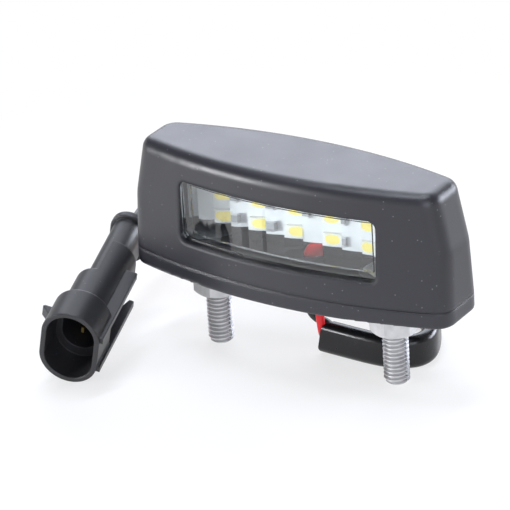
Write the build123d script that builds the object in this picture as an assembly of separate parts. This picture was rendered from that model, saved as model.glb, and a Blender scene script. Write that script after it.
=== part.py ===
"""Number plate lamp on two bolts, with its lead and a two-way connector.

Millimetres, +Z up. The origin is the middle of the base's underside, between the two bolts.
+X runs along the lamp, and its window looks towards -Y.
"""
from build123d import *
from math import cos, hypot, radians, sin, tan
import os

# Outer form of the lamp
body_length = 83.7
body_depth = 27.7
body_height = 31.4
seam_height = 4.2
face_radius = 134.0
face_lean = 1.9
end_fold_height = 17.5
end_fold_inset = 0.25
end_top_inset = 3.2
end_fold_radius = 14.0
corner_radius = 4.7
top_edge_radius = 2.9
base_edge_radius = 0.9
seam_chamfer = 0.25
wall = 2.2

# Window and lens
window_width = 52.0
window_low = 9.8
window_high = 24.7
window_corner = 2.0
lens_gap = 0.15
lens_recess = 0.35
lens_thickness = 2.7
rim_depth = 3.6
rim_side = 2.3
rim_edge = 1.4
flange_reach = 1.6
flange_thickness = 1.4
bond_gap = 0.05
flute_count = 11
flute_pitch = 4.77
flute_rise = 0.14

# Bolts, washers and nuts (M6)
stud_spacing = 47.5
bolt_length = 25.0
thread_radius = 3.0
pitch_radius = 2.675
bolt_reach = 19.6
bolt_end_chamfer = 0.7
hex_across_flats = 10.0
bolt_head_height = 4.0
nut_height = 5.0
nut_facing = (-46.0, -53.6)
washer_radius = 6.0
washer_bore_radius = 3.2
washer_thickness = 1.6
thread_gap = 0.02
bolt_hole_gap = 0.1

# Base plate
spigot_height = 2.4
spigot_wall = 1.4
spigot_gap = 0.3
socket_wall = 1.2
socket_gap = 0.1
post_width = 4.0
post_wall = 1.6
post_bite = 1.4
board_gap = 0.1

# Circuit board and what is soldered to it
board_length = 60.0
board_height = 10.0
board_thickness = 1.6
board_low = 11.7
board_front = -0.4
led_columns = 5
led_pitch = 9.6
led_row_low = 13.95
led_row_high = 19.25
led_width = 3.5
led_height = 2.8
led_thickness = 0.8
led_cup_radius = 1.25
led_cup_depth = 0.5
resistor_width = 1.25
resistor_length = 2.5
resistor_thickness = 0.6
resistor_offset = 3.3
resistor_columns = {"lower": (1, 2, 4), "upper": (1, 2, 3, 4)}
diode_size = (4.4, 2.2, 2.6)
diode_place = (14.0, 17.0)

# Lead: two wires in a flat sleeve
wire_radius = 1.0
wire_gap = 0.05
wire_spread = 2.5
wire_stack = 3.8
exit_x = -1.5
grommet_radius = 3.2
grommet_flange_radius = 4.0
grommet_flange = 1.0
grommet_gap = 0.15
sleeve_height = 8.1
sleeve_width = 4.0
sleeve_wall = 0.5
sleeve_end_x = 0.4
sleeve_end_slant = 1.7
sleeve_end_skew = 2.8
arc_share = 0.45
black_solder_x = -7.4
red_solder_x = 4.4
solder_height = 14.2
solder_run = 2.6
run_above = 2.2
run_below = 1.0
run_behind = 4.0
mouth_run = 3.8

# Connector, measured back from its mouth
mouth_x = -41.6
mouth_y = -35.6
connector_heading = 104.0
connector_tilt = 12.0
connector_roll = -14.0
shroud_height = 20.3
shroud_width = 13.9
shroud_length = 9.5
shroud_wall = 1.25
shroud_back_radius = 0.6
mouth_edge_radius = 0.25
stage_height = 15.5
stage_width = 11.0
stage_length = 11.1
stage_back_radius = 0.6
tube_height = 12.4
tube_width = 7.2
connector_length = 43.3
collar_reach = 0.9
collar_thickness = 1.9
collar_edge_radius = 0.4
pad_length = 10.4
pad_edge = -0.7
rail_offset = 4.35
rail_thickness = 1.5
rail_reach = 7.6
rail_start = 0.7
rail_length = 24.6
rail_corner = 0.3
notch_depth = 2.2
notch_width = 5.7
notch_slope = 0.7
nose_width = 2.8
nose_start = 7.2
nose_length = 3.0
nose_rise = 2.9
nose_front_rise = 0.3
nose_back_rise = 2.5
nose_back_slope = 0.4
socket_depth = 17.0
terminal_spacing = 6.0
terminal_radius = 1.5
terminal_gap = 0.1
tab_width = 1.5
tab_thickness = 0.6
tab_reach = 10.3
crimp_end = 37.3
seal_length = 5.0
seal_radius = 2.25
seal_gap = 0.05

# Values worked out from the sizes above
STANDING = (Align.CENTER, Align.CENTER, Align.MIN)
HANGING = (Align.CENTER, Align.CENTER, Align.MAX)
floor_level = -bolt_reach
lean = face_lean / (body_height - seam_height)
bow_centre = face_radius - body_depth / 2
window_height = window_high - window_low
window_middle = (window_high + window_low) / 2
lens_face = face_radius - lean * (window_high - seam_height) - lens_recess
nut_top = -washer_thickness
nut_low = nut_top - nut_height
head_seat = bolt_length - bolt_reach
head_top = head_seat + bolt_head_height
board_back = board_front + board_thickness
board_end = board_length / 2
stud_places = (-stud_spacing / 2, stud_spacing / 2)
spigot_inset = wall + spigot_gap
exit_y = body_depth / 2 - spigot_inset - spigot_wall - grommet_gap - grommet_flange_radius
sleeve_level = floor_level + sleeve_height / 2


def save(name, shape):
    """Write one node, named as a person would name the piece."""
    shape.label = name
    export_step(shape, f"parts/{name}.step")


def behind_front(inset):
    """All that lies behind the bowed front face once the face is moved in by inset."""
    low_radius = face_radius - inset
    cone = Cone(low_radius, low_radius - face_lean, body_height - seam_height, align=STANDING)
    return Pos(0, bow_centre, seam_height) * cone


def between_ends(inset, top):
    """All that lies between the two folded end faces, up to the height top."""
    low = body_length / 2 - inset
    fold = low - end_fold_inset
    slope = (end_top_inset - end_fold_inset) / (body_height - end_fold_height)
    high = fold - slope * (top - end_fold_height)
    half = [(low, seam_height), (fold, end_fold_height), (high, top)]
    outline = make_face(Polyline(*half, *[(-x, z) for x, z in reversed(half)], close=True))
    folds = outline.vertices().group_by(Axis.Y)[1]
    outline = fillet(folds, end_fold_radius)
    return extrude(Plane.XZ * outline, body_depth, both=True)


def housing_form(inset, corner, top):
    """The cover's tapered form, from the seam to top, with its sides moved in by inset."""
    front = behind_front(inset)
    form = front & mirror(front, Plane.XZ) & between_ends(inset, top)
    uprights = form.edges().filter_by(lambda edge: edge.bounding_box().size.Z > wall)
    return fillet(uprights, corner)


def plan_form(inset, low, high):
    """The lamp's outline at the seam as an upright block between two heights."""
    front = Pos(0, bow_centre) * Circle(face_radius - inset)
    back = Pos(0, -bow_centre) * Circle(face_radius - inset)
    outline = front & back & Rectangle(body_length - 2 * inset, body_depth)
    outline = fillet(outline.vertices(), corner_radius - inset)
    return Pos(0, 0, low) * extrude(outline, high - low)


def window_block(grow):
    """The window's rounded opening, made larger by grow all round, as a block towards the front."""
    opening = RectangleRounded(window_width + 2 * grow, window_height + 2 * grow, window_corner + grow)
    return extrude(Plane.XZ * Pos(0, window_middle) * opening, body_depth)


def make_housing():
    """Moulded cover: tapered shell, open below, with the window through its front wall."""
    shell = housing_form(0, corner_radius, body_height)
    top_rim = shell.faces().sort_by(Axis.Z)[-1].edges()
    shell = fillet(top_rim, top_edge_radius)
    shell -= housing_form(wall, corner_radius - wall, body_height - wall)
    return shell - window_block(0)


def behind_bow(radius):
    """All that lies behind an upright bowed face of that radius."""
    return Pos(0, bow_centre, 0) * Cylinder(radius, body_height, align=STANDING)


def flute_room():
    """The hollow behind the lens pane: its front wall is a row of upright rounded flutes."""
    root = lens_face - lens_thickness

    def on_bow(radius, count):
        angle = flute_pitch / root * (count - flute_count / 2)
        return (radius * sin(angle), bow_centre - radius * cos(angle))

    flutes = [
        ThreePointArc(on_bow(root, n), on_bow(root - flute_rise, n + 0.5), on_bow(root, n + 1))
        for n in range(flute_count)
    ]
    first, last = on_bow(root, 0), on_bow(root, flute_count)
    back = Polyline(last, (last[0], 0), (first[0], 0), first)
    row = extrude(make_face(Curve() + flutes + back), body_height)
    clear = Box(window_width - 2 * rim_side, body_depth, window_height - 2 * rim_edge)
    return row & Pos(0, 0, window_middle) * clear


def make_lens():
    """Clear pane that fills the window, with a flange bonded behind the wall and flutes inside."""
    pane = window_block(-lens_gap) & behind_bow(lens_face) - behind_bow(lens_face - rim_depth)
    flange = window_block(flange_reach) & behind_front(wall + bond_gap)
    flange -= behind_front(wall + bond_gap + flange_thickness)
    return pane + flange - flute_room()


def hexagon(facing):
    """Hexagon across M6 flats, with one flat looking towards the angle facing."""
    return RegularPolygon(hex_across_flats / 2, 6, major_radius=False, rotation=facing + 30)


def make_base():
    """Moulded floor: rim, spigot, sockets for the bolt heads and slotted posts for the board."""
    base = plan_form(0, 0, seam_height)
    base = fillet(base.faces().sort_by(Axis.Z)[0].edges(), base_edge_radius)
    base = chamfer(base.faces().sort_by(Axis.Z)[-1].edges(), seam_chamfer)
    spigot_top = seam_height + spigot_height
    base += plan_form(spigot_inset, seam_height, spigot_top)
    base -= plan_form(spigot_inset + spigot_wall, seam_height, spigot_top)
    socket_radius = hex_across_flats / 2 / cos(radians(30)) + socket_wall
    socket = Cylinder(socket_radius, head_top - seam_height, align=STANDING)
    for x in stud_places:
        base += Pos(x, 0, seam_height) * socket
    board_middle = (board_front + board_back) / 2
    post_height = board_low + board_height - seam_height
    post = Box(post_width, board_thickness + 2 * post_wall, post_height, align=STANDING)
    for side in (-1, 1):
        post_x = side * (board_end - post_bite + post_width / 2)
        base += Pos(post_x, board_middle, seam_height) * post
    pocket = extrude(offset(hexagon(0), socket_gap, kind=Kind.INTERSECTION), bolt_head_height)
    bolt_hole = Cylinder(thread_radius + bolt_hole_gap, head_seat, align=STANDING)
    for x in stud_places:
        base -= Pos(x, 0, head_seat) * pocket
        base -= Pos(x, 0, 0) * bolt_hole
    slot_length = board_length + 2 * board_gap
    slot = Box(slot_length, board_thickness + 2 * board_gap, board_height, align=STANDING)
    base -= Pos(0, board_middle, board_low) * slot
    return base - Pos(exit_x, exit_y, 0) * Cylinder(grommet_radius, seam_height, align=STANDING)


def make_stud():
    """M6 bolt, head up. Its shank has the pitch radius, at which the threads also meet in the nut."""
    profile = Polyline(
        (0, head_seat),
        (pitch_radius, head_seat),
        (pitch_radius, nut_low),
        (thread_radius, nut_low),
        (thread_radius, floor_level + bolt_end_chamfer),
        (thread_radius - bolt_end_chamfer, floor_level),
        (0, floor_level),
        close=True,
    )
    shank = revolve(Plane.XZ * make_face(profile), Axis.Z)
    return shank + Pos(0, 0, head_seat) * extrude(hexagon(0), bolt_head_height)


def make_nut(facing):
    """Hexagon nut with its corners turned off at 30 degrees on both faces."""
    corner = hex_across_flats / 2 / cos(radians(30))
    drop = (corner - hex_across_flats / 2) * tan(radians(30))
    half = nut_height / 2
    turned = Polyline(
        (0, -half),
        (hex_across_flats / 2, -half),
        (corner, drop - half),
        (corner, half - drop),
        (hex_across_flats / 2, half),
        (0, half),
        close=True,
    )
    nut = extrude(hexagon(facing), half, both=True) & revolve(Plane.XZ * make_face(turned), Axis.Z)
    nut -= Cylinder(pitch_radius + thread_gap, nut_height)
    return Pos(0, 0, nut_top - half) * nut


def make_washer():
    """Plain washer between the base and the nut."""
    ring = Circle(washer_radius) - Circle(washer_bore_radius)
    return extrude(Pos(0, 0, -washer_thickness) * ring, washer_thickness)


def make_board():
    """Bare board, standing on its long edge in the posts."""
    board = Box(board_length, board_thickness, board_height, align=(Align.CENTER, Align.MIN, Align.MIN))
    return Pos(0, board_front, board_low) * board


def make_led(x, z):
    """Surface-mount lamp on the board's front: a white cup and the phosphor that fills it."""
    fill = extrude(Circle(led_cup_radius), -led_cup_depth)
    body = extrude(Rectangle(led_width, led_height), -led_thickness) - fill
    face = Plane(origin=(x, board_front - led_thickness, z), x_dir=(1, 0, 0), z_dir=(0, -1, 0))
    return face * body, face * fill


def make_resistor(x, z):
    """Chip resistor on the board's front, standing upright."""
    chip = Box(resistor_width, resistor_thickness, resistor_length)
    return Pos(x, board_front - resistor_thickness / 2, z) * chip


def make_diode():
    """Rectifier on the board's back, against a reversed supply."""
    x, z = diode_place
    return Pos(x, board_back + diode_size[1] / 2, z) * Box(*diode_size)


def wire_places():
    """Where the black and the red wire pass through the base."""
    return (exit_x - wire_spread / 2, exit_y), (exit_x + wire_spread / 2, exit_y)


def make_grommet():
    """Rubber grommet in the base, flanged on both sides, with a bore for each wire."""
    groove = seam_height
    grommet = Pos(exit_x, exit_y, 0) * Cylinder(grommet_radius, groove, align=STANDING)
    grommet += Pos(exit_x, exit_y, 0) * Cylinder(grommet_flange_radius, grommet_flange, align=HANGING)
    grommet += Pos(exit_x, exit_y, groove) * Cylinder(grommet_flange_radius, grommet_flange, align=STANDING)
    bore = Cylinder(wire_radius + wire_gap, groove + 2 * grommet_flange, align=STANDING)
    for x, y in wire_places():
        grommet -= Pos(x, y, -grommet_flange) * bore
    return grommet


def connector_plane():
    """The mouth's plane: x across the oval, y along it and z out of the mouth."""
    heading, tilt, roll = radians(connector_heading), radians(connector_tilt), radians(connector_roll)
    inwards = Vector(cos(tilt) * cos(heading), cos(tilt) * sin(heading), sin(tilt))
    level = Vector(sin(heading), -cos(heading), 0)
    across = level * cos(roll) + level.cross(inwards) * sin(roll)
    along = across.cross(inwards)
    round_end = shroud_width / 2
    reach_down = round_end * hypot(across.Z, along.Z) + (shroud_height / 2 - round_end) * along.Z
    mouth = (mouth_x, mouth_y, floor_level + reach_down)
    return Plane(origin=mouth, x_dir=across, z_dir=-inwards)


def oval(height, width, start, end, back_radius=0):
    """Oval block from start to end, both measured back from the mouth, with its back edge rounded."""
    block = extrude(Pos(0, 0, -start) * SlotOverall(height, width, rotation=90), start - end)
    if back_radius:
        block = fillet(block.faces().sort_by(Axis.Z)[0].edges(), back_radius)
    return block


def terminal_heights():
    """The two ways of the connector, upper then lower."""
    return terminal_spacing / 2, -terminal_spacing / 2


def make_latch_nose():
    """Wedge on the shroud's side, behind which the mating half's latch catches."""
    side = -shroud_width / 2
    root = side + shroud_wall / 2
    nose_end = nose_start + nose_length
    outline = Polyline(
        (root, -nose_start),
        (side - nose_front_rise, -nose_start),
        (side - nose_rise, nose_back_slope - nose_end),
        (side - nose_back_rise, -nose_end),
        (root, -nose_end),
        close=True,
    )
    return extrude(Plane.XZ * make_face(outline), nose_width / 2, both=True)


def make_rail(notch):
    """One of the two rails beside the shroud, with its far end cut back by notch on the inner side."""
    outline = Polyline(
        (0, 0),
        (rail_reach, 0),
        (rail_reach, rail_corner - rail_length),
        (rail_reach - rail_corner, -rail_length),
        (notch_width + notch_slope, -rail_length),
        (notch_width, notch - rail_length),
        (0, notch - rail_length),
        close=True,
    )
    rail = extrude(Plane.XZ * make_face(outline), rail_thickness / 2, both=True)
    return Pos(0, 0, -rail_start) * rail


def make_shell():
    """Connector shell: oval shroud, narrower body, rear tube with collar, rails and latch nose."""
    stage_end = shroud_length + stage_length
    inner = 2 * shroud_wall
    shell = oval(shroud_height, shroud_width, 0, shroud_length, shroud_back_radius)
    shell -= oval(shroud_height - inner, shroud_width - inner, 0, shroud_length - shroud_wall)
    shell = fillet(shell.faces().sort_by(Axis.Z)[-1].edges(), mouth_edge_radius)
    shell += oval(stage_height, stage_width, shroud_length - shroud_wall, stage_end, stage_back_radius)
    shell += oval(tube_height, tube_width, stage_end - stage_back_radius, connector_length)
    grown = 2 * collar_reach
    collar_start = connector_length - collar_thickness
    collar = oval(tube_height + grown, tube_width + grown, collar_start, connector_length)
    rims = collar.faces().sort_by(Axis.Z)
    shell += fillet(rims[0].edges() + rims[-1].edges(), collar_edge_radius)
    pad = oval(stage_height, stage_width, stage_end - stage_back_radius, stage_end + pad_length)
    beside = Pos(pad_edge, 0, 0) * Box(
        stage_width, stage_height, 2 * connector_length, align=(Align.MIN, Align.MIN, Align.CENTER)
    )
    shell += pad & beside
    shroud_room = oval(shroud_height - inner, shroud_width - inner, 0, shroud_length - shroud_wall)
    for side, notch in ((1, 0), (-1, notch_depth)):
        shell += Pos(0, side * rail_offset, 0) * make_rail(notch) - shroud_room
    shell += make_latch_nose()
    shell -= oval(stage_height - inner, stage_width - inner, 0, socket_depth)
    way_bore = Cylinder(terminal_radius + terminal_gap, connector_length, align=HANGING)
    seal_start = connector_length - seal_length
    seal_bore = Pos(0, 0, -seal_start) * Cylinder(seal_radius + seal_gap, seal_length, align=HANGING)
    for height in terminal_heights():
        shell -= Pos(0, height, 0) * (way_bore + seal_bore)
    return connector_plane() * shell


def make_terminal(height):
    """Brass terminal: flat tab in the mouth, round barrel behind it to the wire's end."""
    barrel = Pos(0, 0, -socket_depth) * Cylinder(terminal_radius, crimp_end - socket_depth, align=HANGING)
    tab = Pos(0, 0, -tab_reach) * Box(tab_thickness, tab_width, socket_depth - tab_reach, align=HANGING)
    return connector_plane() * Pos(0, height, 0) * (barrel + tab)


def make_seal(height):
    """Rubber seal round one wire, in the shell's rear bore."""
    ring = Circle(seal_radius) - Circle(wire_radius + wire_gap)
    return connector_plane() * Pos(0, height, -connector_length) * extrude(ring, seal_length)


def arc_radii(points):
    """The largest arc that the two runs at each inner point leave room for."""
    radii = []
    for before, here, after in zip(points, points[1:], points[2:]):
        arrive, leave = Vector(here) - Vector(before), Vector(after) - Vector(here)
        half_turn = radians(arrive.get_angle(leave)) / 2
        radii.append(arc_share * min(arrive.length, leave.length) / tan(half_turn))
    return radii


def cord(name, points, section, long_side=None):
    """Sweep a section along straight runs joined by tangent arcs, and print its size."""
    radii = arc_radii(points)
    path = FilletPolyline(*points, radius=radii)
    start = Plane(origin=path @ 0, x_dir=long_side, z_dir=path % 0)
    solid = sweep(start * section, path=path)
    share = solid.volume / (section.area * path.length)
    print(f"{name}: length {path.length:.1f}, least radius {min(radii):.1f}, volume share {share:.4f}")
    return solid


# Route of the sleeve on the surface under the lamp, and of the wires before and after it
SLEEVE_ROUTE = [
    (0.2, 5.27),
    (8.6, 4.8),
    (14.6, 4.6),
    (18.6, 4.9),
    (24.0, 7.0),
    (25.6, 10.6),
    (24.4, 15.0),
    (20.6, 22.0),
    (13.2, 27.9),
    (2.8, 31.3),
    (-9.6, 32.9),
    (-22.4, 33.3),
    (-34.5, 32.8),
]
BLACK_INSIDE = [(-5.0, 4.8, 11.0)]
BLACK_LEAD_IN = [
    (-3.4, 6.4, -8.0),
    (-3.2, 6.9, -11.2),
    (-1.4, 7.0, -12.7),
    (0.5, 6.9, -12.8),
    (2.2, 6.4, -13.1),
]
BLACK_TAIL = [
    (-40.2, 33.2, -14.2),
    (-46.0, 32.5, -10.8),
    (-51.0, 30.2, -6.0),
    (-54.0, 26.8, -0.8),
    (-54.8, 22.4, 2.9),
]
RED_INSIDE = [(2.0, 4.8, 11.0)]
RED_LEAD_IN = [
    (0.4, 4.9, -8.0),
    (1.2, 4.4, -12.9),
    (1.3, 4.8, -15.2),
    (2.0, 5.15, -16.8),
]
RED_TAIL = [
    (-40.3, 33.2, -16.6),
    (-46.6, 32.7, -14.2),
    (-52.0, 30.4, -9.8),
    (-55.6, 27.2, -5.4),
    (-57.0, 23.0, -2.6),
]


def wire_route(solder_x, inside, place, lead_in, level, tail, height):
    """One wire: board, grommet, sleeve and connector, with the points of its free stretches."""
    solder = [(solder_x, board_back + reach, solder_height) for reach in (0, solder_run)]
    grommet = [(*place, seam_height + grommet_flange + run_above), (*place, -grommet_flange - run_below)]
    first_x, first_y = SLEEVE_ROUTE[0]
    mouth = [(first_x + mouth_run, first_y, sleeve_level + level)]
    sleeve = [(x, y, sleeve_level + level) for x, y in SLEEVE_ROUTE[1:]]
    rear = connector_plane()
    depths = (connector_length + run_behind, crimp_end)
    connector = [tuple(rear.from_local_coords(Vector(0, height, -depth))) for depth in depths]
    return solder + inside + grommet + lead_in + mouth + sleeve + tail + connector


def sleeve_end_waste():
    """What the slanted cut takes off the sleeve's first end."""
    front = SLEEVE_ROUTE[0][1] - sleeve_width / 2
    facing = (1, -sleeve_end_skew / sleeve_width, -sleeve_end_slant / sleeve_height)
    cut = Plane(origin=(sleeve_end_x, front, floor_level), z_dir=facing)
    return cut * Box(body_depth, body_depth, sleeve_height, align=HANGING)


def main():
    os.makedirs("parts", exist_ok=True)
    save("housing", make_housing())
    save("lens", make_lens())
    save("base_plate", make_base())
    save("mounting_studs", Compound(children=[Pos(x, 0, 0) * make_stud() for x in stud_places]))
    save("stud_washers", Compound(children=[Pos(x, 0, 0) * make_washer() for x in stud_places]))
    nuts = [Pos(x, 0, 0) * make_nut(facing) for x, facing in zip(stud_places, nut_facing)]
    save("stud_nuts", Compound(children=nuts))
    save("circuit_board", make_board())
    for row, z in (("lower", led_row_low), ("upper", led_row_high)):
        for column in range(led_columns):
            x = led_pitch * (column - (led_columns - 1) / 2)
            body, fill = make_led(x, z)
            save(f"led_{row}_{column + 1}", body)
            save(f"phosphor_{row}_{column + 1}", fill)
            if column + 1 in resistor_columns[row]:
                save(f"resistor_{row}_{column + 1}", make_resistor(x + resistor_offset, z))
    save("protection_diode", make_diode())
    save("wire_grommet", make_grommet())
    save("connector_shell", make_shell())
    for name, height in zip(("upper", "lower"), terminal_heights()):
        save(f"terminal_{name}", make_terminal(height))
        save(f"wire_seal_{name}", make_seal(height))
    black_place, red_place = wire_places()
    upper, lower = terminal_heights()
    black = wire_route(
        black_solder_x, BLACK_INSIDE, black_place, BLACK_LEAD_IN, wire_stack / 2, BLACK_TAIL, upper
    )
    red = wire_route(red_solder_x, RED_INSIDE, red_place, RED_LEAD_IN, -wire_stack / 2, RED_TAIL, lower)
    save("black_wire", cord("black_wire", black, Circle(wire_radius)))
    save("red_wire", cord("red_wire", red, Circle(wire_radius)))
    hollow = 2 * sleeve_wall
    section = SlotOverall(sleeve_height, sleeve_width)
    section -= SlotOverall(sleeve_height - hollow, sleeve_width - hollow)
    sleeve_route = [(x, y, sleeve_level) for x, y in SLEEVE_ROUTE]
    sleeve = cord("cable_sleeve", sleeve_route, section, long_side=(0, 0, 1))
    save("cable_sleeve", sleeve - sleeve_end_waste())


main()
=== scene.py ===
"""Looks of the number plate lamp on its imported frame. Metres, +Z up, the window looks towards -Y."""
import bmesh
import bpy
from math import cos, pi, radians, sin
from mathutils import Matrix, Vector


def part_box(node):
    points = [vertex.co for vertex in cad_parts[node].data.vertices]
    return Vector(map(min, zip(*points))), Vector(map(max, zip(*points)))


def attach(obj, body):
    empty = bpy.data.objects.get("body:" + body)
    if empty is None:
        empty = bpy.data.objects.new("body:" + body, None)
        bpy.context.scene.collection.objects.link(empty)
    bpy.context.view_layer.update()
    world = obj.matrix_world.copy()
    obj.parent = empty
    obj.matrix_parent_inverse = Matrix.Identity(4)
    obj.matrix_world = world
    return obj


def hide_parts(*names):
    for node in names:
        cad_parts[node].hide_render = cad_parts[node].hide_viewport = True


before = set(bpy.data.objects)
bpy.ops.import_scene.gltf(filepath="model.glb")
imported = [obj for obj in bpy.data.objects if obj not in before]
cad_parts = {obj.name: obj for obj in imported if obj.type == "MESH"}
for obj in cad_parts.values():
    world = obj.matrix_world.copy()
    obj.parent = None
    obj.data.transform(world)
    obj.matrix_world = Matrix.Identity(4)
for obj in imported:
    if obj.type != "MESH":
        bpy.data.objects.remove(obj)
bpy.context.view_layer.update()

bpy.context.scene.view_settings.view_transform = "Standard"


# Housing: the lamp's cover, injection moulded in black ABS and pushed over the base's spigot.
# The mould was spark-eroded, so the skin is a fine satin that blurs what it mirrors. Its edges
# are softly rounded, and a few specks of dust lie on it.
def linear(hex_colour):
    """The linear colour of an sRGB hex value."""
    parts = [int(hex_colour[start:start + 2], 16) / 255 for start in (1, 3, 5)]
    return (*[part / 12.92 if part <= 0.04045 else ((part + 0.055) / 1.055) ** 2.4 for part in parts], 1.0)


def per_metre(size_mm):
    """Texture scale at which one feature of a pattern is size_mm across."""
    return 1000 / size_mm


def new_material(name):
    """A material with an empty node tree."""
    material = bpy.data.materials.new(name)
    material.use_nodes = True
    material.node_tree.nodes.clear()
    return material


def add_node(tree, kind, settings=None, sockets=None):
    """Add a node, set its properties, then set its sockets or link them to other nodes' outputs.

    A socket goes by its name, or by its number where several share one name.
    """
    made = tree.nodes.new(kind)
    for name, value in (settings or {}).items():
        setattr(made, name, value)
    for name, value in (sockets or {}).items():
        if isinstance(value, bpy.types.NodeSocket):
            tree.links.new(value, made.inputs[name])
        else:
            made.inputs[name].default_value = value
    return made


# A Mix node's sockets for colours: the two that go in and the one that comes out.
first_colour = 6
second_colour = 7
mixed_colour = 2

# Most of a noise texture's values lie between these two.
noise_low = 0.3
noise_high = 0.7


def dusted(tree, place, colour, spacing_mm, cover):
    """A colour with pale specks of dust on it, one to each cell of a loose net."""
    speck_core = 0.05
    speck_rim = 0.085
    cells = add_node(tree, "ShaderNodeTexVoronoi", sockets={"Vector": place, "Scale": per_metre(spacing_mm)})
    speck = add_node(tree, "ShaderNodeMapRange", sockets={
        "Value": cells.outputs["Distance"], "From Min": speck_core, "From Max": speck_rim,
        "To Min": cover, "To Max": 0.0})
    skin = add_node(tree, "ShaderNodeMix", settings={"data_type": "RGBA"}, sockets={
        "Factor": speck.outputs["Result"], first_colour: colour, second_colour: linear("#a9aaae")})
    return skin.outputs[mixed_colour]


def dress(material, slot, *names):
    """Give CAD nodes their material. The slot argument is not used."""
    for name in names:
        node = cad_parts[name]
        node.material_slots[0].material = material


# A moulded grain is finer than a pixel of the render, so it is drawn as coarse as it needs to show.
abs_grain_mm = 0.35

satin_abs = new_material("satin_black_abs")
tree = satin_abs.node_tree
place = add_node(tree, "ShaderNodeTexCoord").outputs["Object"]
grain = add_node(tree, "ShaderNodeTexNoise", sockets={
    "Vector": place, "Scale": per_metre(abs_grain_mm), "Detail": 3.0})
soft_edge = add_node(tree, "ShaderNodeBevel", sockets={"Radius": 0.0012})
relief = add_node(tree, "ShaderNodeBump", sockets={
    "Height": grain.outputs["Fac"], "Strength": 0.4, "Distance": 0.00004,
    "Normal": soft_edge.outputs["Normal"]})
cloud = add_node(tree, "ShaderNodeTexNoise", sockets={
    "Vector": place, "Scale": per_metre(9), "Detail": 2.0})
gloss = add_node(tree, "ShaderNodeMapRange", sockets={
    "Value": cloud.outputs["Fac"], "From Min": noise_low, "From Max": noise_high,
    "To Min": 0.33, "To Max": 0.39})
skin = dusted(tree, place, linear("#1e1e25"), spacing_mm=1.9, cover=0.34)
shader = add_node(tree, "ShaderNodeBsdfPrincipled", sockets={
    "Base Color": skin, "Roughness": gloss.outputs["Result"], "IOR": 1.58,
    "Normal": relief.outputs["Normal"]})
add_node(tree, "ShaderNodeOutputMaterial", sockets={"Surface": shader.outputs["BSDF"]})
dress(satin_abs, "housing_plastic", "housing")


# Lens: a clear polycarbonate pane, polished and hard coated outside, with upright flutes moulded
# inside to spread the light. Its flange sits behind the window. Its level faces low down get a
# dark shader, which is painted shade for the dark line along its lower edge. The eye sees sharp
# reflections and bent edges.
# Level faces of the lens below this height take the dark shader, a painted shade.
painted_shade_level = 0.0103
level_face = 0.5

clear_polycarbonate = new_material("clear_polycarbonate")
tree = clear_polycarbonate.node_tree
place = add_node(tree, "ShaderNodeTexCoord").outputs["Object"]
ripple = add_node(tree, "ShaderNodeTexNoise", sockets={
    "Vector": place, "Scale": per_metre(6), "Detail": 1.0})
flow = add_node(tree, "ShaderNodeBump", sockets={
    "Height": ripple.outputs["Fac"], "Strength": 0.15, "Distance": 0.0001})
pane = add_node(tree, "ShaderNodeBsdfPrincipled", sockets={
    "Base Color": linear("#f6f9fa"), "Roughness": 0.02, "IOR": 1.585, "Transmission Weight": 1.0,
    "Coat Weight": 0.6, "Normal": flow.outputs["Normal"]})
# Painted shade: a dark, dull shader on the lens's level faces low down, standing in for the shade on its
# lower edge.
painted_shade_shader = add_node(tree, "ShaderNodeBsdfPrincipled", sockets={
    "Base Color": linear("#161618"), "Roughness": 0.5})
facing = add_node(tree, "ShaderNodeNewGeometry").outputs["Normal"]
facing_up = add_node(tree, "ShaderNodeSeparateXYZ", sockets={"Vector": facing}).outputs["Z"]
tilt = add_node(tree, "ShaderNodeMath", settings={"operation": "ABSOLUTE"}, sockets={0: facing_up})
level = add_node(tree, "ShaderNodeMath", settings={"operation": "GREATER_THAN"}, sockets={
    0: tilt.outputs[0], 1: level_face})
height = add_node(tree, "ShaderNodeSeparateXYZ", sockets={"Vector": place}).outputs["Z"]
low = add_node(tree, "ShaderNodeMath", settings={"operation": "LESS_THAN"}, sockets={
    0: height, 1: painted_shade_level})
painted_shade_mask = add_node(tree, "ShaderNodeMath", settings={"operation": "MULTIPLY"}, sockets={
    0: level.outputs[0], 1: low.outputs[0]})
edged = add_node(tree, "ShaderNodeMixShader", sockets={
    0: painted_shade_mask.outputs[0], 1: pane.outputs["BSDF"], 2: painted_shade_shader.outputs["BSDF"]})
passing = add_node(tree, "ShaderNodeBsdfTransparent", sockets={"Color": linear("#eef2f3")})
ray = add_node(tree, "ShaderNodeLightPath")
lit_through = add_node(tree, "ShaderNodeMixShader", sockets={
    0: ray.outputs["Is Shadow Ray"], 1: edged.outputs["Shader"], 2: passing.outputs["BSDF"]})
add_node(tree, "ShaderNodeOutputMaterial", sockets={"Surface": lit_through.outputs["Shader"]})
dress(clear_polycarbonate, "lens_clear", "lens")


# Circuit board: glass epoxy under white solder resist, slid into slots in the base's two posts.
# The resist is smooth and bright. The weave beneath it shows as a faint relief, drawn about six
# times as coarse as the real cloth of 0.6 mm, which would be too fine to show.
weave_mm = 3.77
# How far apart a wave texture's bands lie at a scale of 1.
wave_length = 2 * pi / 20

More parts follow.
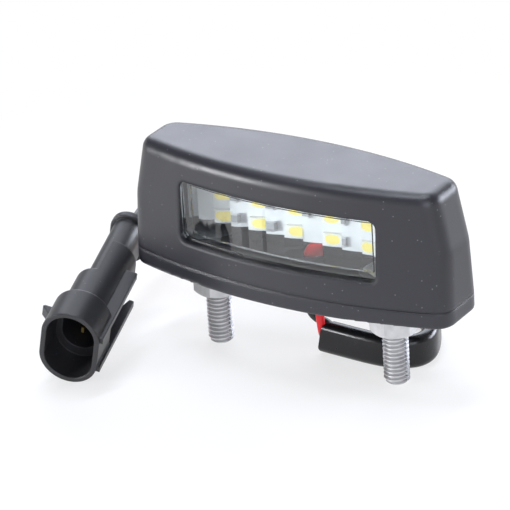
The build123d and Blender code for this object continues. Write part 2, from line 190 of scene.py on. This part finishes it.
white_resist = new_material("white_solder_resist")
tree = white_resist.node_tree
place = add_node(tree, "ShaderNodeTexCoord").outputs["Object"]
weave = add_node(tree, "ShaderNodeTexWave", settings={"bands_direction": "X"}, sockets={
    "Vector": place, "Scale": per_metre(weave_mm) * wave_length, "Distortion": 1.5})
relief = add_node(tree, "ShaderNodeBump", sockets={
    "Height": weave.outputs["Fac"], "Strength": 0.1, "Distance": 0.00002})
cloud = add_node(tree, "ShaderNodeTexNoise", sockets={
    "Vector": place, "Scale": per_metre(5), "Detail": 2.0})
tint = add_node(tree, "ShaderNodeMix", settings={"data_type": "RGBA"}, sockets={
    "Factor": cloud.outputs["Fac"], first_colour: linear("#eef0ef"), second_colour: linear("#e2e5e6")})
shader = add_node(tree, "ShaderNodeBsdfPrincipled", sockets={
    "Base Color": tint.outputs[mixed_colour], "Roughness": 0.35, "IOR": 1.5,
    "Normal": relief.outputs["Normal"]})
add_node(tree, "ShaderNodeOutputMaterial", sockets={"Surface": shader.outputs["BSDF"]})
dress(white_resist, "board_white", "circuit_board")


# LEDs: ten surface-mount lamps, soldered on in two rows. Each is a white reflector cup, moulded in
# polyamide and filled with a yellow silicone phosphor, soft and slightly grainy to the eye. The
# phosphor's powder is finer than a pixel, so it is drawn as coarse as it needs to show.
powder_mm = 0.3

white_polyamide = new_material("white_polyamide")
tree = white_polyamide.node_tree
place = add_node(tree, "ShaderNodeTexCoord").outputs["Object"]
cloud = add_node(tree, "ShaderNodeTexNoise", sockets={
    "Vector": place, "Scale": per_metre(0.8), "Detail": 2.0})
tint = add_node(tree, "ShaderNodeMix", settings={"data_type": "RGBA"}, sockets={
    "Factor": cloud.outputs["Fac"], first_colour: linear("#f4f2ea"), second_colour: linear("#e9e6da")})
shader = add_node(tree, "ShaderNodeBsdfPrincipled", sockets={
    "Base Color": tint.outputs[mixed_colour], "Roughness": 0.5, "IOR": 1.53})
add_node(tree, "ShaderNodeOutputMaterial", sockets={"Surface": shader.outputs["BSDF"]})

yellow_phosphor = new_material("yellow_phosphor_silicone")
tree = yellow_phosphor.node_tree
place = add_node(tree, "ShaderNodeTexCoord").outputs["Object"]
powder = add_node(tree, "ShaderNodeTexNoise", sockets={
    "Vector": place, "Scale": per_metre(powder_mm), "Detail": 3.0})
tint = add_node(tree, "ShaderNodeMix", settings={"data_type": "RGBA"}, sockets={
    "Factor": powder.outputs["Fac"], first_colour: linear("#fbe254"), second_colour: linear("#fff29c")})
shader = add_node(tree, "ShaderNodeBsdfPrincipled", sockets={
    "Base Color": tint.outputs[mixed_colour], "Roughness": 0.3, "IOR": 1.41})
add_node(tree, "ShaderNodeOutputMaterial", sockets={"Surface": shader.outputs["BSDF"]})

led_names = [f"{row}_{column}" for row in ("lower", "upper") for column in range(1, 6)]
dress(white_polyamide, "led_case", *[f"led_{name}" for name in led_names])
dress(yellow_phosphor, "led_phosphor", *[f"phosphor_{name}" for name in led_names])


# Resistors: seven ceramic chips beside the LEDs, glazed grey between tinned end caps and soldered
# on upright. The caps take the outer sixths of a chip's height, where the eye sees a dull shine.
chip_middle = 0.5
cap_start = 0.34

glazed_chip = new_material("glazed_chip_resistor")
tree = glazed_chip.node_tree
across_chip = add_node(tree, "ShaderNodeTexCoord").outputs["Generated"]
height = add_node(tree, "ShaderNodeSeparateXYZ", sockets={"Vector": across_chip}).outputs["Z"]
offset = add_node(tree, "ShaderNodeMath", settings={"operation": "SUBTRACT"}, sockets={
    0: height, 1: chip_middle})
reach = add_node(tree, "ShaderNodeMath", settings={"operation": "ABSOLUTE"}, sockets={
    0: offset.outputs[0]})
cap = add_node(tree, "ShaderNodeMath", settings={"operation": "GREATER_THAN"}, sockets={
    0: reach.outputs[0], 1: cap_start})
tint = add_node(tree, "ShaderNodeMix", settings={"data_type": "RGBA"}, sockets={
    "Factor": cap.outputs[0], first_colour: linear("#9d9ea0"), second_colour: linear("#e4e5e6")})
shader = add_node(tree, "ShaderNodeBsdfPrincipled", sockets={
    "Base Color": tint.outputs[mixed_colour], "Metallic": cap.outputs[0], "Roughness": 0.35})
add_node(tree, "ShaderNodeOutputMaterial", sockets={"Surface": shader.outputs["BSDF"]})

chip_names = ["lower_1", "lower_2", "lower_4", "upper_1", "upper_2", "upper_3", "upper_4"]
dress(glazed_chip, "resistor_black", *[f"resistor_{name}" for name in chip_names])


# Diode: the rectifier that protects the LEDs, soldered to the board's back. It is moulded in black
# epoxy with a dull, faintly pitted skin. The pits are drawn as coarse as they need to show.
pit_mm = 0.25

black_epoxy = new_material("black_epoxy")
tree = black_epoxy.node_tree
place = add_node(tree, "ShaderNodeTexCoord").outputs["Object"]
pits = add_node(tree, "ShaderNodeTexNoise", sockets={
    "Vector": place, "Scale": per_metre(pit_mm), "Detail": 3.0})
relief = add_node(tree, "ShaderNodeBump", sockets={
    "Height": pits.outputs["Fac"], "Strength": 0.3, "Distance": 0.00003})
shader = add_node(tree, "ShaderNodeBsdfPrincipled", sockets={
    "Base Color": linear("#2a2a2c"), "Roughness": 0.6, "Normal": relief.outputs["Normal"]})
add_node(tree, "ShaderNodeOutputMaterial", sockets={"Surface": shader.outputs["BSDF"]})
dress(black_epoxy, "diode_black", "protection_diode")


# Base plate: the lamp's floor, moulded in the same ABS as the housing. It holds the bolt heads
# and the board's posts, and its spigot fits inside the housing's skirt.
dress(satin_abs, "housing_plastic", "base_plate")


# Mounting studs: two M6 steel bolts, 25 mm long, pushed down through the base with their heads
# inside. The threads were rolled at 1 mm pitch and zinc plated, which leaves a dull, slightly
# clouded shine. The flats and flanks of a thread are shares of its pitch.
stud_places = (-0.02375, 0.02375)
# Decimal places of a level in metres, so that the frame's levels come to whole tenths of a millimetre.
level_places = 4
stud_end = round(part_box("mounting_studs")[0].z, level_places)
head_top = round(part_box("mounting_studs")[1].z, level_places)
nut_underside = round(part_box("stud_nuts")[0].z, level_places)
head_seat = 0.0054
head_half_flats = 0.005
shank_radius = 0.002675
crest_radius = 0.003
root_radius = 0.00239
thread_pitch = 0.001
root_flat = 1 / 4
flank = 5 / 16
crest_flat = 1 / 8
end_chamfer = 0.0007
spare_turns = 3
columns = 48
weld_distance = 0.000002
# The plating's grit, too, is drawn as coarse as it needs to show.
grit_mm = 0.3

bright_zinc = new_material("bright_zinc_plated_steel")
tree = bright_zinc.node_tree
place = add_node(tree, "ShaderNodeTexCoord").outputs["Object"]
cloud = add_node(tree, "ShaderNodeTexNoise", sockets={
    "Vector": place, "Scale": per_metre(2.5), "Detail": 3.0})
plating = add_node(tree, "ShaderNodeMix", settings={"data_type": "RGBA"}, sockets={
    "Factor": cloud.outputs["Fac"], first_colour: linear("#e0e0e1"), second_colour: linear("#b0b0b2")})
gloss = add_node(tree, "ShaderNodeMapRange", sockets={
    "Value": cloud.outputs["Fac"], "From Min": noise_low, "From Max": noise_high,
    "To Min": 0.44, "To Max": 0.54})
grit = add_node(tree, "ShaderNodeTexNoise", sockets={
    "Vector": place, "Scale": per_metre(grit_mm), "Detail": 2.0})
relief = add_node(tree, "ShaderNodeBump", sockets={
    "Height": grit.outputs["Fac"], "Strength": 0.2, "Distance": 0.00002})
shader = add_node(tree, "ShaderNodeBsdfPrincipled", sockets={
    "Base Color": plating.outputs[mixed_colour], "Metallic": 1.0, "Roughness": gloss.outputs["Result"],
    "Normal": relief.outputs["Normal"]})
add_node(tree, "ShaderNodeOutputMaterial", sockets={"Surface": shader.outputs["BSDF"]})


def new_piece(name, maker, material):
    """A mesh object from a filled bmesh, smooth except at its sharp edges, riding on the lamp."""
    sharp_angle = radians(35)
    mesh = bpy.data.meshes.new(name)
    maker.to_mesh(mesh)
    maker.free()
    for polygon in mesh.polygons:
        polygon.use_smooth = True
    mesh.set_sharp_from_angle(angle=sharp_angle)
    mesh.materials.append(material)
    piece = bpy.data.objects.new(name, mesh)
    bpy.context.scene.collection.objects.link(piece)
    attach(piece, "root")
    return piece


def skin_rings(maker, rings):
    """Join rings of points into a closed skin, with one face over the first and the last ring."""
    corners = [[maker.verts.new(point) for point in ring] for ring in rings]
    for lower, upper in zip(corners, corners[1:]):
        for n in range(len(lower)):
            after = (n + 1) % len(lower)
            maker.faces.new((lower[n], lower[after], upper[after], upper[n]))
    maker.faces.new(list(reversed(corners[0])))
    maker.faces.new(corners[-1])


def thread_rows():
    """Heights above a column's helix, in turns, and the radii there, four for each turn."""
    turn = [
        (0, root_radius),
        (root_flat, root_radius),
        (root_flat + flank, crest_radius),
        (root_flat + flank + crest_flat, crest_radius),
    ]
    turns = round((nut_underside - stud_end) / thread_pitch) + spare_turns
    return [(n + share, radius) for n in range(-1, turns) for share, radius in turn]


def hexagon_reach(angle, half_flats):
    """How far a hexagon's edge lies from its middle, at an angle from a flat's middle."""
    sixth_turn = pi / 3
    return half_flats / cos((angle + sixth_turn / 2) % sixth_turn - sixth_turn / 2)


maker = bmesh.new()
angles = [2 * pi * n / columns for n in range(columns)]
for stud_x in stud_places:
    rings = [[(stud_x, 0, stud_end)] * columns]
    for share, radius in thread_rows():
        ring = []
        for angle in angles:
            height = stud_end + thread_pitch * (share + angle / (2 * pi))
            height = min(max(height, stud_end), nut_underside)
            limit = crest_radius - end_chamfer + (height - stud_end)
            reach = min(radius, limit) if height < nut_underside else shank_radius
            ring.append((stud_x + reach * cos(angle), reach * sin(angle), height))
        rings.append(ring)
    for height in (nut_underside, head_seat):
        rings.append([(stud_x + shank_radius * cos(a), shank_radius * sin(a), height) for a in angles])
    for height in (head_seat, head_top):
        reaches = [hexagon_reach(angle, head_half_flats) for angle in angles]
        rings.append([(stud_x + r * cos(a), r * sin(a), height) for r, a in zip(reaches, angles)])
    skin_rings(maker, rings)
bmesh.ops.remove_doubles(maker, verts=maker.verts, dist=weld_distance)
bmesh.ops.dissolve_degenerate(maker, edges=maker.edges, dist=weld_distance)
studs = new_piece("threaded_studs", maker, bright_zinc)
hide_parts("mounting_studs")


# Washers and nuts: plain M6 hardware in steel, zinc plated as the studs are. Each nut presses its
# washer against the base's underside and draws the bolt's head down into its socket.
dress(bright_zinc, "zinc_steel", "stud_washers", "stud_nuts")


# Grommet and wire seals: soft black rubber. The grommet is flanged above and below the base, with
# a bore for each wire, and a seal closes each rear bore of the connector. Rubber is dull and
# slightly bloomed, so it keeps only a wide, weak shine.
black_rubber = new_material("black_rubber")
tree = black_rubber.node_tree
place = add_node(tree, "ShaderNodeTexCoord").outputs["Object"]
bloom = add_node(tree, "ShaderNodeTexNoise", sockets={
    "Vector": place, "Scale": per_metre(0.9), "Detail": 3.0})
tint = add_node(tree, "ShaderNodeMix", settings={"data_type": "RGBA"}, sockets={
    "Factor": bloom.outputs["Fac"], first_colour: linear("#1d1d1e"), second_colour: linear("#29292a")})
shader = add_node(tree, "ShaderNodeBsdfPrincipled", sockets={
    "Base Color": tint.outputs[mixed_colour], "Roughness": 0.68, "IOR": 1.52})
add_node(tree, "ShaderNodeOutputMaterial", sockets={"Surface": shader.outputs["BSDF"]})
dress(black_rubber, "rubber_black", "wire_grommet", "wire_seal_upper", "wire_seal_lower")


# Wires: one red and one black, 2 mm over the PVC. Each is soldered to the board's back, goes down
# through the grommet, along inside the sleeve and up into the connector's rear seal. The routes
# are in millimetres.
wire_radius = 0.001
black_level_mm = -13.65
red_level_mm = -17.45
sleeve_route = [
    (0.2, 5.27), (8.6, 4.8), (14.6, 4.6), (18.6, 4.9), (24.0, 7.0), (25.6, 10.6), (24.4, 15.0),
    (20.6, 22.0), (13.2, 27.9), (2.8, 31.3), (-9.6, 32.9), (-22.4, 33.3), (-34.5, 32.8),
]
black_route = [
    (-7.4, 1.2, 14.2), (-7.4, 3.8, 14.2), (-5.0, 4.8, 11.0), (-2.75, 5.8, 7.4), (-2.75, 5.8, -2.0),
    (-3.4, 6.4, -8.0), (-3.2, 6.9, -11.2), (-1.4, 7.0, -12.7), (0.5, 6.9, -12.8), (2.2, 6.4, -13.1),
    (4.0, 5.27, black_level_mm), *[(x, y, black_level_mm) for x, y in sleeve_route[1:]],
    (-40.2, 33.2, -14.2), (-46.0, 32.5, -10.8), (-51.0, 30.2, -6.0), (-54.0, 26.8, -0.8),
    (-54.8, 22.4, 2.9), (-51.942, 8.880, 2.917), (-49.576, -0.611, 0.838),
]
red_route = [
    (4.4, 1.2, 14.2), (4.4, 3.8, 14.2), (4.4, 4.8, 11.0), (-0.25, 5.8, 7.4), (-0.25, 5.8, -2.0),
    (0.4, 4.9, -8.0), (1.2, 4.4, -12.9), (1.3, 4.8, -15.2), (2.0, 5.15, -16.8),
    (4.0, 5.27, red_level_mm), *[(x, y, red_level_mm) for x, y in sleeve_route[1:]],
    (-40.3, 33.2, -16.6), (-46.6, 32.7, -14.2), (-52.0, 30.4, -9.8), (-55.6, 27.2, -5.4),
    (-57.0, 23.0, -2.6), (-53.643, 9.704, -2.778), (-51.277, 0.213, -4.857),
]


def route_curve(name, points_mm):
    """A smooth curve with the route's points as its control points."""
    curve = bpy.data.curves.new(name, "CURVE")
    curve.dimensions = "3D"
    spline = curve.splines.new("NURBS")
    spline.points.add(len(points_mm) - 1)
    for control, point in zip(spline.points, points_mm):
        control.co = (*[value / 1000 for value in point], 1.0)
    spline.order_u = 3
    spline.use_endpoint_u = True
    spline.resolution_u = 16
    return bpy.data.objects.new(name, curve)


def pvc_insulation(name, colour, deep_colour):
    """Extruded PVC: smooth and half glossy, with small ripples and changes of shade."""
    material = new_material(name)
    tree = material.node_tree
    place = add_node(tree, "ShaderNodeTexCoord").outputs["Object"]
    cloud = add_node(tree, "ShaderNodeTexNoise", sockets={
        "Vector": place, "Scale": per_metre(1.5), "Detail": 2.0})
    tint = add_node(tree, "ShaderNodeMix", settings={"data_type": "RGBA"}, sockets={
        "Factor": cloud.outputs["Fac"], first_colour: linear(colour), second_colour: linear(deep_colour)})
    relief = add_node(tree, "ShaderNodeBump", sockets={
        "Height": cloud.outputs["Fac"], "Strength": 0.2, "Distance": 0.00005})
    shader = add_node(tree, "ShaderNodeBsdfPrincipled", sockets={
        "Base Color": tint.outputs[mixed_colour], "Roughness": 0.32, "IOR": 1.53,
        "Normal": relief.outputs["Normal"]})
    add_node(tree, "ShaderNodeOutputMaterial", sockets={"Surface": shader.outputs["BSDF"]})
    return material


def lay_wire(name, points_mm, material):
    """A round wire along its route, in place of the CAD wire of the same name."""
    wire = route_curve(name + "_insulation", points_mm)
    wire.data.bevel_depth = wire_radius
    wire.data.bevel_resolution = 6
    wire.data.use_fill_caps = True
    wire.data.materials.append(material)
    bpy.context.scene.collection.objects.link(wire)
    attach(wire, "root")
    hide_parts(name)
    return wire


black_pvc = pvc_insulation("black_pvc", "#1b1b1d", "#242427")
red_pvc = pvc_insulation("red_pvc", "#e9151f", "#d70e18")
black_wire = lay_wire("black_wire", black_route, black_pvc)
red_wire = lay_wire("red_wire", red_route, red_pvc)


# Sleeve: soft black PVC tube slipped over both wires and cut slantwise at the end near the lamp. The
# wires, one above the other, press it flat, and its drawn skin carries a long clear highlight.
sleeve_level_mm = -15.55
sleeve_height = 0.0081
sleeve_width = 0.004
sleeve_wall = 0.0005
oval_points = 48
# The cut goes through cut_corner and faces along cut_facing. Whole rings start clear of it.
cut_corner = Vector((0.0004, 0.00327, -0.0196))
cut_facing = Vector((1, -0.7, -0.21))
cut_clear_x = 0.005
cut_clear_y = 0.01

glossy_pvc = new_material("glossy_black_pvc")
tree = glossy_pvc.node_tree
place = add_node(tree, "ShaderNodeTexCoord").outputs["Object"]
ripple = add_node(tree, "ShaderNodeTexNoise", sockets={
    "Vector": place, "Scale": per_metre(2.2), "Detail": 2.0})
relief = add_node(tree, "ShaderNodeBump", sockets={
    "Height": ripple.outputs["Fac"], "Strength": 0.35, "Distance": 0.0001})
gloss = add_node(tree, "ShaderNodeMapRange", sockets={
    "Value": ripple.outputs["Fac"], "From Min": noise_low, "From Max": noise_high,
    "To Min": 0.2, "To Max": 0.28})
shader = add_node(tree, "ShaderNodeBsdfPrincipled", sockets={
    "Base Color": linear("#0e0e11"), "Roughness": gloss.outputs["Result"], "IOR": 1.46,
    "Normal": relief.outputs["Normal"]})
add_node(tree, "ShaderNodeOutputMaterial", sockets={"Surface": shader.outputs["BSDF"]})


def flat_oval(height, width):
    """Points round an upright oval with straight sides and half-round ends, as (side, up) pairs."""
    straight = (height - width) / 2
    points = []
    for n in range(oval_points):
        angle = 2 * pi * n / oval_points
        rise = straight if sin(angle) > 0 else -straight
        points.append((width / 2 * cos(angle), width / 2 * sin(angle) + rise))
    return points


line = route_curve("sleeve_line", [(x, y, sleeve_level_mm) for x, y in sleeve_route])
bpy.context.scene.collection.objects.link(line)
line_mesh = bpy.data.meshes.new_from_object(line)
sleeve_path = [vertex.co.copy() for vertex in line_mesh.vertices]
bpy.data.objects.remove(line)
bpy.data.meshes.remove(line_mesh)

whole_path = [point for point in sleeve_path if point.x > cut_clear_x or point.y > cut_clear_y]
before = whole_path[:1] + whole_path[:-1]
beyond = whole_path[1:] + whole_path[-1:]
headings = [(end - start).normalized() for start, end in zip(before, beyond)]
upright = Vector((0, 0, 1))
outer = flat_oval(sleeve_height, sleeve_width)
inner = flat_oval(sleeve_height - 2 * sleeve_wall, sleeve_width - 2 * sleeve_wall)
skins = []
for section in (outer, inner):
    skin = []
    for point, heading in zip(whole_path, headings):
        across = heading.cross(upright)
        skin.append([point + across * side + upright * rise for side, rise in section])
    slant = headings[0].dot(cut_facing)
    past_cut = [(corner - cut_corner).dot(cut_facing) / slant for corner in skin[0]]
    cut_ring = [corner - headings[0] * distance for corner, distance in zip(skin[0], past_cut)]
    skins.append([cut_ring] + skin)
maker = bmesh.new()
rings = [[maker.verts.new(corner) for corner in ring] for ring in skins[0] + list(reversed(skins[1]))]
for ring, after in zip(rings, rings[1:] + rings[:1]):
    for n in range(len(ring)):
        beside = (n + 1) % len(ring)
        maker.faces.new((ring[n], after[n], after[beside], ring[beside]))
bmesh.ops.recalc_face_normals(maker, faces=maker.faces)
sleeve = new_piece("pvc_sleeve", maker, glossy_pvc)
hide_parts("cable_sleeve")


# Connector: the two-way shell that plugs into the vehicle's harness, moulded in black nylon. The
# mould gives it a satin skin, a little duller than the housing's, and its narrow edges catch a thin
# line of light. Its grain, too, is drawn as coarse as it needs to show.
nylon_grain_mm = 0.3

black_nylon = new_material("black_nylon")
tree = black_nylon.node_tree
place = add_node(tree, "ShaderNodeTexCoord").outputs["Object"]
grain = add_node(tree, "ShaderNodeTexNoise", sockets={
    "Vector": place, "Scale": per_metre(nylon_grain_mm), "Detail": 3.0})
soft_edge = add_node(tree, "ShaderNodeBevel", sockets={"Radius": 0.0004})
relief = add_node(tree, "ShaderNodeBump", sockets={
    "Height": grain.outputs["Fac"], "Strength": 0.25, "Distance": 0.00003,
    "Normal": soft_edge.outputs["Normal"]})
cloud = add_node(tree, "ShaderNodeTexNoise", sockets={
    "Vector": place, "Scale": per_metre(4), "Detail": 2.0})
tint = add_node(tree, "ShaderNodeMix", settings={"data_type": "RGBA"}, sockets={
    "Factor": cloud.outputs["Fac"], first_colour: linear("#1d1d1f"), second_colour: linear("#252528")})
skin = dusted(tree, place, tint.outputs[mixed_colour], spacing_mm=1.4, cover=0.3)
shader = add_node(tree, "ShaderNodeBsdfPrincipled", sockets={
    "Base Color": skin, "Roughness": 0.42, "IOR": 1.53, "Normal": relief.outputs["Normal"]})
add_node(tree, "ShaderNodeOutputMaterial", sockets={"Surface": shader.outputs["BSDF"]})
dress(black_nylon, "connector_plastic", "connector_shell")


# Terminals: stamped brass tabs, tinned thinly so that the yellow still shows. One is crimped on
# each wire and pushed into the connector from behind.
tinned_brass = new_material("tinned_brass")
tree = tinned_brass.node_tree
place = add_node(tree, "ShaderNodeTexCoord").outputs["Object"]
cloud = add_node(tree, "ShaderNodeTexNoise", sockets={
    "Vector": place, "Scale": per_metre(1.2), "Detail": 3.0})
tint = add_node(tree, "ShaderNodeMix", settings={"data_type": "RGBA"}, sockets={
    "Factor": cloud.outputs["Fac"], first_colour: linear("#b39c62"), second_colour: linear("#a0864c")})
shader = add_node(tree, "ShaderNodeBsdfPrincipled", sockets={
    "Base Color": tint.outputs[mixed_colour], "Metallic": 1.0, "Roughness": 0.34})
add_node(tree, "ShaderNodeOutputMaterial", sockets={"Surface": shader.outputs["BSDF"]})
dress(tinned_brass, "terminal_brass", "terminal_upper", "terminal_lower")


# Studio: a white table under the studs and a pale room. The eye, gloss and glass find a part of the
# table's white ready lit, more of it further out, so that only soft shadows are left round the lamp.
table_level = stud_end
table_reach = 8.0
shaded_reach = 0.06
white_reach = 0.17

white_table = new_material("white_table")
tree = white_table.node_tree
ray = add_node(tree, "ShaderNodeLightPath")
place = add_node(tree, "ShaderNodeTexCoord").outputs["Object"]
far = add_node(tree, "ShaderNodeVectorMath", settings={"operation": "LENGTH"}, sockets={0: place})
ready_lit = add_node(tree, "ShaderNodeMapRange", sockets={
    "Value": far.outputs["Value"], "From Min": shaded_reach, "From Max": white_reach,
    "To Min": 0.66, "To Max": 1.0})
seen = add_node(tree, "ShaderNodeMath", settings={"operation": "ADD"}, sockets={
    0: ray.outputs["Is Camera Ray"], 1: ray.outputs["Is Glossy Ray"]})
seen = add_node(tree, "ShaderNodeMath", settings={"operation": "ADD", "use_clamp": True}, sockets={
    0: seen.outputs[0], 1: ray.outputs["Is Transmission Ray"]})
share = add_node(tree, "ShaderNodeMath", settings={"operation": "MULTIPLY"}, sockets={
    0: ready_lit.outputs["Result"], 1: seen.outputs[0]})
matt = add_node(tree, "ShaderNodeBsdfDiffuse", sockets={"Color": linear("#f1f1f1")})
white = add_node(tree, "ShaderNodeEmission", sockets={"Color": linear("#ffffff"), "Strength": 1.0})
top = add_node(tree, "ShaderNodeMixShader", sockets={
    0: share.outputs[0], 1: matt.outputs["BSDF"], 2: white.outputs["Emission"]})
add_node(tree, "ShaderNodeOutputMaterial", sockets={"Surface": top.outputs["Shader"]})

table_corners = [(-1, -1), (1, -1), (1, 1), (-1, 1)]
table_mesh = bpy.data.meshes.new("white_table")
table_mesh.from_pydata(
    [(x * table_reach, y * table_reach, table_level) for x, y in table_corners], [], [(0, 1, 2, 3)])
table_mesh.materials.append(white_table)
table = bpy.data.objects.new("white_table", table_mesh)
bpy.context.scene.collection.objects.link(table)

room = bpy.data.worlds.new("pale_room")
room.use_nodes = True
room.node_tree.nodes.clear()
tree = room.node_tree
direction = add_node(tree, "ShaderNodeTexCoord").outputs["Generated"]
rise = add_node(tree, "ShaderNodeSeparateXYZ", sockets={"Vector": direction}).outputs["Z"]
brightness = add_node(tree, "ShaderNodeMapRange", settings={"interpolation_type": "SMOOTHSTEP"}, sockets={
    "Value": rise, "From Min": 0.06, "From Max": 0.2, "To Min": 1.0, "To Max": 0.28})
walls = add_node(tree, "ShaderNodeBackground", sockets={
    "Color": linear("#ffffff"), "Strength": brightness.outputs["Result"]})
add_node(tree, "ShaderNodeOutputWorld", sockets={"Surface": walls.outputs["Background"]})
bpy.context.scene.world = room


def softbox(name, direction, distance, width, height, radiance, colour="#edf2ff"):
    """A soft lamp with an evenly bright face, looking at the number plate lamp from a direction."""
    light = bpy.data.lights.new(name, "AREA")
    light.shape = "RECTANGLE"
    light.size = width
    light.size_y = height
    light.energy = radiance * pi * width * height
    light.color = linear(colour)[:3]
    lamp = bpy.data.objects.new(name, light)
    away = Vector(direction).normalized()
    lamp.location = away * distance
    lamp.rotation_euler = away.to_track_quat("Z", "Y").to_euler()
    bpy.context.scene.collection.objects.link(lamp)


softbox(
    "back_softbox", direction=(-0.42, 0.78, 0.50), distance=1.6, width=1.5, height=1.0, radiance=4.1)
softbox(
    "front_softbox", direction=(0.62, -0.66, 0.42), distance=1.7, width=1.2, height=1.2, radiance=3.0)
softbox(
    "low_key", direction=(-0.67, -0.73, 0.12), distance=1.4, width=0.42, height=0.22, radiance=52.0,
    colour="#f6f7fb")
softbox(
    "overhead_strip", direction=(-0.12, 0.05, 0.95), distance=1.4, width=0.9, height=0.14, radiance=30.0)
softbox(
    "side_softbox", direction=(0.56, 0.80, 0.19), distance=1.6, width=1.2, height=0.5, radiance=14.0)


# Camera: a long lens from the photograph's side, to the right of the window and above it, rolled by
# a few degrees. It is aimed so that the lamp's origin falls on its pixel of the photograph.
camera_azimuth = radians(33.932)
camera_elevation = radians(25.526)
camera_roll = radians(-3.626)
camera_distance = 0.86698
lens_mm = 268.46
sensor_mm = 36
picture_pixels = 510
origin_pixel = (303.97, 282.69)

back = Vector((
    sin(camera_azimuth) * cos(camera_elevation),
    -cos(camera_azimuth) * cos(camera_elevation),
    sin(camera_elevation)))
level_side = Vector((cos(camera_azimuth), sin(camera_azimuth), 0))
level_up = back.cross(level_side)
side = level_side * cos(camera_roll) + level_up * sin(camera_roll)
up = level_up * cos(camera_roll) - level_side * sin(camera_roll)
metre_per_pixel = camera_distance * sensor_mm / (lens_mm * picture_pixels)
aim_side = (origin_pixel[0] - picture_pixels / 2) * metre_per_pixel
aim_up = (picture_pixels / 2 - origin_pixel[1]) * metre_per_pixel
camera_data = bpy.data.cameras.new("camera")
camera_data.lens = lens_mm
camera_data.sensor_width = sensor_mm
camera_data.clip_end = 50
camera = bpy.data.objects.new("camera", camera_data)
stand = back * camera_distance - side * aim_side - up * aim_up
camera.matrix_world = Matrix.Translation(stand) @ Matrix((side, up, back)).transposed().to_4x4()
bpy.context.scene.collection.objects.link(camera)
bpy.context.scene.camera = camera
